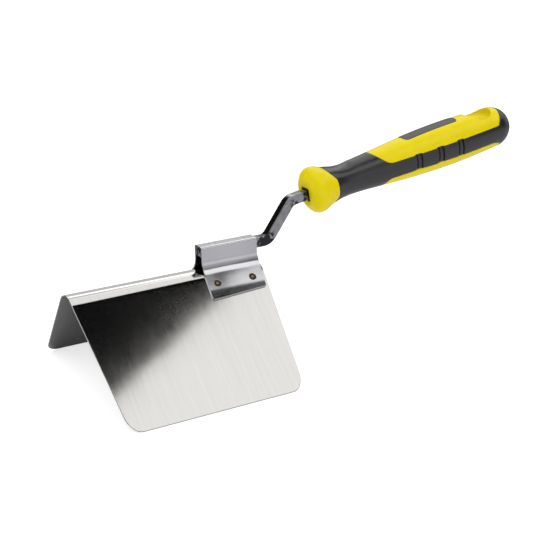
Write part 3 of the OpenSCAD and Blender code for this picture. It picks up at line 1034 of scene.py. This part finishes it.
class Graph:
    """Short ways to add nodes to a shader tree."""

    def __init__(self, tree):
        self.nodes = tree.nodes
        self.links = tree.links

    def node(self, kind, inputs=(), **settings):
        made = self.nodes.new(kind)
        for key, value in settings.items():
            setattr(made, key, value)
        for key, value in dict(inputs).items():
            if isinstance(value, bpy.types.NodeSocket):
                self.links.new(value, made.inputs[key])
            else:
                made.inputs[key].default_value = value
        return made

    def coordinates(self, kind):
        return self.node("ShaderNodeTexCoord").outputs[kind]

    def maths(self, operation, first, second, third=0.0):
        return self.node("ShaderNodeMath", {0: first, 1: second, 2: third}, operation=operation).outputs[0]

    def vectors(self, operation, first, second=(0.0, 0.0, 0.0)):
        """Sum on two vectors; its result is a vector or, where the operation measures, a number."""
        made = self.node("ShaderNodeVectorMath", {0: first, 1: second}, operation=operation)
        return made.outputs["Value" if operation in ("DISTANCE", "DOT_PRODUCT", "LENGTH") else "Vector"]

    def span(self, value, low, high, to_low=0.0, to_high=1.0):
        """Maps low..high to to_low..to_high, clamped."""
        return self.node("ShaderNodeMapRange", {"Value": value, "From Min": low, "From Max": high,
                                                "To Min": to_low, "To Max": to_high}).outputs["Result"]

    def blend(self, factor, first, second):
        """Colour between two colours."""
        return self.node("ShaderNodeMix", {0: factor, 6: first, 7: second}, data_type="RGBA").outputs[2]

    def ramp(self, value, stops):
        """Grey level that eases from stop to stop; each stop is (value, grey)."""
        made = self.node("ShaderNodeValToRGB", {0: value})
        made.color_ramp.interpolation = "EASE"
        while len(made.color_ramp.elements) < len(stops):
            made.color_ramp.elements.new(0.5)
        for element, (place, grey) in zip(made.color_ramp.elements, stops):
            element.position = place
            element.color = colour(grey, grey, grey)
        return made.outputs[0]


class Look(Graph):
    """A procedural material built on the Principled shader."""

    def __init__(self, name, sockets):
        self.material = bpy.data.materials.new(name)
        self.material.use_nodes = True
        super().__init__(self.material.node_tree)
        self.shader = self.nodes["Principled BSDF"]
        for socket, value in sockets.items():
            self.shader.inputs[socket].default_value = value

    def noise(self, scale, detail, roughness=0.5, stretch=(1, 1, 1), distortion=0.0):
        """Noise that lies in the object; a stretch below 1 draws it out along that axis."""
        place = self.node("ShaderNodeMapping", {"Vector": self.coordinates("Object"), "Scale": stretch})
        found = self.node("ShaderNodeTexNoise", {"Vector": place.outputs[0], "Scale": scale, "Detail": detail,
                                                "Roughness": roughness, "Distortion": distortion})
        return found.outputs["Fac"]

    def bump(self, height, distance, normal=None):
        inputs = {"Height": height, "Distance": distance, "Strength": 1.0}
        if normal is not None:
            inputs["Normal"] = normal
        return self.node("ShaderNodeBump", inputs).outputs[0]

    def use(self, socket, value):
        self.links.new(value, self.shader.inputs[socket])


def brushed_steel():
    """Stainless sheet with fine brush lines running down the wings."""
    look = Look("brushed_stainless", {"Metallic": 1.0})
    down_wing = (1.0, 0.035, 0.035)
    fine = look.noise(3200, 2.0, 0.6, down_wing)
    broad = look.noise(420, 3.0, 0.55, down_wing)
    cloud = look.noise(22, 2.0)
    tone = look.blend(look.span(broad, 0.3, 0.7), colour(0.655, 0.64, 0.615), colour(0.70, 0.685, 0.66))
    glint = look.span(fine, 0.25, 0.75, 0.0, 0.35)
    look.use("Base Color", look.blend(glint, tone, colour(0.76, 0.75, 0.73)))
    look.use("Roughness", look.maths("ADD", look.span(fine, 0.2, 0.8, 0.055, 0.095),
                                     look.span(cloud, 0.3, 0.7, -0.005, 0.015)))
    waves = look.bump(cloud, 0.00006)
    streaks = look.bump(broad, 0.0000018, waves)
    look.use("Normal", look.bump(fine, 0.0000006, streaks))
    return look.material


def polished_steel(name):
    """Stainless bracket: brighter, with faint drawing lines along it and a slightly wavy face."""
    look = Look(name, {"Metallic": 1.0})
    lines = look.noise(1500, 3.0, 0.6, (0.05, 1.0, 1.0))
    cloud = look.noise(34, 0.5)
    tone = look.blend(look.span(cloud, 0.3, 0.7), colour(0.66, 0.66, 0.69), colour(0.74, 0.74, 0.76))
    look.use("Base Color", tone)
    look.use("Roughness", look.span(lines, 0.2, 0.8, 0.10, 0.16))
    look.use("Normal", look.bump(lines, 0.000001, look.bump(cloud, 0.0009)))
    return look.material


def heat_tinted_steel():
    """Spot weld: a grey dimple inside a brown ring that fades to straw."""
    look = Look("weld_heat_tint", {"Metallic": 1.0})
    mottled = look.noise(1400, 4.0, 0.65)
    centred = look.vectors("SUBTRACT", look.coordinates("Generated"), (0.5, 0.5, 0.5))
    away = look.vectors("LENGTH", look.vectors("MULTIPLY", centred, SPOT_BOX))
    uneven = look.maths("ADD", away, look.span(mottled, 0.3, 0.7, -0.35, 0.35))
    brown = look.blend(look.span(mottled, 0.35, 0.65), colour(0.03, 0.018, 0.010), colour(0.11, 0.066, 0.032))
    middle = look.blend(look.span(uneven, 0.6, 1.3), colour(0.34, 0.30, 0.25), brown)
    look.use("Base Color", look.blend(look.span(uneven, 2.15, 2.6), middle, colour(0.34, 0.27, 0.17)))
    look.use("Roughness", look.span(mottled, 0.3, 0.7, 0.28, 0.5))
    look.use("Normal", look.bump(mottled, 0.00004))
    return look.material


def plated_bar():
    """Plated forged bar: glossy, with scratches along it, and painted shade darkening its bends and where it
    enters the handle.
    """
    look = Look("plated_steel", {"Metallic": 1.0})
    marks = look.noise(260, 5.0, 0.6, distortion=0.4)
    fine = look.noise(1800, 3.0, 0.6, (0.25, 1.0, 1.0))
    tone = look.blend(look.span(marks, 0.36, 0.62), colour(0.30, 0.30, 0.31), colour(0.44, 0.44, 0.45))
    side_view = look.vectors("MULTIPLY", look.coordinates("Object"), (1.0, 0.0, 1.0))
    # painted shade: near-black patches with a ragged edge at both bends, standing in for the dark they
    # mirror, and where the bar enters the handle
    ragged = look.span(marks, 0.38, 0.62, -3.2 * MM, 3.2 * MM)
    low, high, mouth = shank_corners()
    painted_shade_spots = ((low[0] - 2.0, low[1] - 1.0, 6.3), (high[0] + 3.0, high[1] - 4.0, 2.6), (*mouth, 3.4))
    for x, z, reach in painted_shade_spots:
        away = look.maths("ADD", look.vectors("DISTANCE", side_view, (x * MM, 0.0, z * MM)), ragged)
        unshaded = look.span(away, (reach - 1.5) * MM, (reach + 1.5) * MM)
        tone = look.blend(unshaded, colour(0.045, 0.045, 0.05), tone)
    look.use("Base Color", tone)
    look.use("Roughness", look.span(fine, 0.25, 0.75, 0.07, 0.14))
    look.use("Normal", look.bump(fine, 0.000002, look.bump(marks, 0.00003)))
    return look.material


def moulded(name, dark, light, rough, grain_scale, grain_depth, sockets):
    """Moulded plastic or rubber with a fine grain and slightly uneven gloss."""
    look = Look(name, sockets)
    grain = look.noise(grain_scale, 3.0, 0.6)
    cloud = look.noise(90, 3.0, 0.55)
    look.use("Base Color", look.blend(look.span(cloud, 0.3, 0.7), dark, light))
    look.use("Roughness", look.maths("ADD", look.span(grain, 0.25, 0.75, rough - 0.04, rough + 0.05),
                                     look.span(cloud, 0.3, 0.7, -0.03, 0.03)))
    look.use("Normal", look.bump(grain, grain_depth))
    return look.material


BRUSHED = brushed_steel()
POLISHED = polished_steel("polished_stainless")
GROUND = polished_steel("weld_polished")
TINTED = heat_tinted_steel()
PLATED = plated_bar()
CORE_BLACK = moulded("black_plastic", colour(0.010, 0.010, 0.011), colour(0.016, 0.016, 0.017), 0.5, 1500,
                     0.00002, {})
YELLOW = moulded("yellow_plastic", colour(0.65, 0.53, 0.0006), colour(0.69, 0.565, 0.0009), 0.26, 900,
                 0.000004, {"Specular IOR Level": 0.15, "Coat Weight": 0.1, "Coat Roughness": 0.12})
SOFT_BLACK = moulded("black_soft_grip", colour(0.006, 0.006, 0.008), colour(0.010, 0.010, 0.012), 0.29, 2600,
                     0.000012, {"Specular IOR Level": 0.95})
PLAQUE_GREY = moulded("plaque_grey", colour(0.045, 0.042, 0.034), colour(0.060, 0.056, 0.046), 0.42, 2000,
                      0.00001, {})

blade_piece(BRUSHED)
saddle_piece(POLISHED)
spot_weld_pieces(TINTED)
plug_weld_pieces(GROUND)
shank_piece(PLATED)
shell_piece(YELLOW)
grip_piece(SOFT_BLACK)
plaque_piece(PLAQUE_GREY)
core = frame["nodes"]["handle_core"]
core.data.materials.clear()
core.data.materials.append(CORE_BLACK)


# ---------------------------------------------------------------- studio, in metres

CAMERA_LENS = 76.2
CAMERA_SENSOR = 36.0
CAMERA_AZIMUTH = math.radians(29.13)
CAMERA_ELEVATION = math.radians(19.24)
CAMERA_ROLL = math.radians(-1.517)
CAMERA_PLACE = (-0.36956, -0.62189, 0.29648)

PANEL_TURN = math.radians(33.0)
PANEL_HEIGHT = 2.0
SIDE_PANEL = (5.0, 1.3)
SIDE_PANEL_AWAY = 1.03
SIDE_PANEL_RADIANCE = 1.12
REAR_PANEL_RADIANCE = 0.6
TOP_PANEL = (4.6, 1.3)
TOP_PANEL_AWAY = -0.25
TOP_PANEL_RADIANCE = 1.05

FLOOR_REACH = 40.0
# light that the floor gives off: from X, to X, and its strength there; and how strong the camera sees it
FLOOR_GLOW = (-0.2, 0.3, 1.0, 0.35)
FLOOR_SEEN = 0.7
# dark cards on the floor, seen only in the metal: where they fade in, along X or Y
LEFT_CARD = (0.03, -0.05)
RIGHT_CARD = (0.4, 0.55)
CARDS_FROM = (0.1, 0.2)

# grey levels of the room as metal mirrors it. Each direction is placed by its share towards the right
# rear, from 0 to 1, and by its height less SKY_LEAN times its reach towards the right rear.
SKY_SIDE = (0.75, 0.66, 0.0)
SKY_LEAN = 0.3
WALLS = ((0.0, 0.6), (0.4, 0.7), (0.5, 0.01), (0.74, 0.01), (0.86, 0.66), (0.95, 0.66), (0.975, 0.1))
WALLS_BY_HEIGHT = ((0.28, 1.0), (0.42, 0.62), (0.6, 0.5), (0.7, 0.02))
REAR_WALL = ((0.82, 0.0), (0.87, 1.0))
REAR_WALL_BY_HEIGHT = ((0.2, 0.5), (0.3, 1.0))
REAR_WALL_GAIN = 2.0
LEFT_WALL = ((0.2, 0.4), (0.42, 0.0))
# light on everything else, by height
SOFT_LIGHT = ((0.0, 0.38), (1.0, 1.05))


def camera():
    """Camera at the viewpoint the object is usually catalogued from: front left, a little above."""
    data = bpy.data.cameras.new("camera")
    made = link(bpy.data.objects.new("camera", data))
    data.lens = CAMERA_LENS
    data.sensor_width = CAMERA_SENSOR
    data.clip_start, data.clip_end = 0.01, 100.0
    level = math.cos(CAMERA_ELEVATION)
    ahead = Vector((math.sin(CAMERA_AZIMUTH) * level, math.cos(CAMERA_AZIMUTH) * level,
                    -math.sin(CAMERA_ELEVATION)))
    made.location = CAMERA_PLACE
    made.rotation_mode = "QUATERNION"
    roll = Matrix.Rotation(CAMERA_ROLL, 3, "Z").to_quaternion()
    made.rotation_quaternion = ahead.to_track_quat("-Z", "Y") @ roll
    bpy.context.scene.camera = made


def panel_light(name, size, away, radiance):
    """A soft panel overhead, turned to the trowel's front right, unseen by the camera."""
    data = bpy.data.lights.new(name, "AREA")
    data.shape = "RECTANGLE"
    data.size, data.size_y = size
    data.energy = radiance * math.pi * size[0] * size[1]
    made = link(bpy.data.objects.new(name, data))
    outwards = Vector((math.sin(PANEL_TURN), -math.cos(PANEL_TURN), 0))
    made.location = outwards * away + Vector((0, 0, PANEL_HEIGHT))
    made.rotation_euler = (0, 0, PANEL_TURN)
    made.visible_camera = False


def floor():
    """White floor. Metal mirrors it grey, as with a card laid in front, with dark cards at the rear."""
    mesh = bpy.data.meshes.new("floor")
    corners = [(x * FLOOR_REACH, y * FLOOR_REACH, 0) for x, y in ((-1, -1), (1, -1), (1, 1), (-1, 1))]
    mesh.from_pydata(corners, [], [(0, 1, 2, 3)])
    made = link(bpy.data.objects.new("floor", mesh))
    look = Look("floor_white", {"Roughness": 0.95, "Specular IOR Level": 0.1,
                                "Emission Color": colour(1, 1, 1)})
    rays = look.node("ShaderNodeLightPath").outputs
    mirrored = rays["Is Glossy Ray"]
    spot = look.node("ShaderNodeSeparateXYZ", {0: look.coordinates("Object")}).outputs
    cards = look.maths("MAXIMUM", look.span(spot["X"], *LEFT_CARD), look.span(spot["X"], *RIGHT_CARD))
    dark = look.maths("MULTIPLY", look.span(spot["Y"], *CARDS_FROM), cards)
    card = look.blend(dark, colour(0.42, 0.42, 0.44), colour(0.01, 0.01, 0.01))
    look.use("Base Color", look.blend(mirrored, colour(0.5, 0.5, 0.5), card))
    glow = look.span(spot["X"], *FLOOR_GLOW)
    shown = look.maths("MULTIPLY", rays["Is Camera Ray"], look.maths("SUBTRACT", FLOOR_SEEN, glow))
    look.use("Emission Strength", look.maths("MULTIPLY", look.maths("SUBTRACT", 1.0, mirrored),
                                             look.maths("ADD", glow, shown)))
    mesh.materials.append(look.material)


def surroundings():
    """Soft white light all round. Metal mirrors pale walls at the rear and left, with dark between."""
    world = bpy.data.worlds.new("studio")
    bpy.context.scene.world = world
    world.use_nodes = True
    world.node_tree.nodes.clear()
    sky = Graph(world.node_tree)
    direction = sky.coordinates("Generated")
    height = sky.node("ShaderNodeSeparateXYZ", {0: direction}).outputs["Z"]
    reach = sky.vectors("DOT_PRODUCT", direction, SKY_SIDE)
    share = sky.maths("MULTIPLY_ADD", reach, 0.5, 0.5)
    lean = sky.maths("MULTIPLY_ADD", reach, -SKY_LEAN, height)
    rear = sky.maths("MULTIPLY", sky.ramp(share, REAR_WALL), sky.ramp(lean, REAR_WALL_BY_HEIGHT))
    rear = sky.maths("MULTIPLY", rear, REAR_WALL_GAIN)
    level = sky.maths("MAXIMUM", sky.ramp(lean, WALLS_BY_HEIGHT), rear)
    level = sky.maths("MAXIMUM", level, sky.ramp(share, LEFT_WALL))
    mirrored = sky.maths("MULTIPLY", sky.ramp(share, WALLS), level)
    rays = sky.node("ShaderNodeLightPath").outputs
    shown = sky.blend(rays["Is Camera Ray"], sky.ramp(height, SOFT_LIGHT), colour(1, 1, 1))
    seen = sky.node("ShaderNodeBackground", {"Color": shown}).outputs[0]
    dark = sky.node("ShaderNodeBackground", {"Color": mirrored}).outputs[0]
    mix = sky.node("ShaderNodeMixShader", {0: rays["Is Glossy Ray"], 1: seen, 2: dark}).outputs[0]
    sky.node("ShaderNodeOutputWorld", {0: mix})


camera()
panel_light("front_panel", SIDE_PANEL, SIDE_PANEL_AWAY + SIDE_PANEL[1] / 2, SIDE_PANEL_RADIANCE)
panel_light("rear_panel", SIDE_PANEL, -SIDE_PANEL_AWAY - SIDE_PANEL[1] / 2, REAR_PANEL_RADIANCE)
panel_light("top_panel", TOP_PANEL, TOP_PANEL_AWAY, TOP_PANEL_RADIANCE)
floor()
surroundings()
bpy.context.scene.view_settings.view_transform = "Standard"
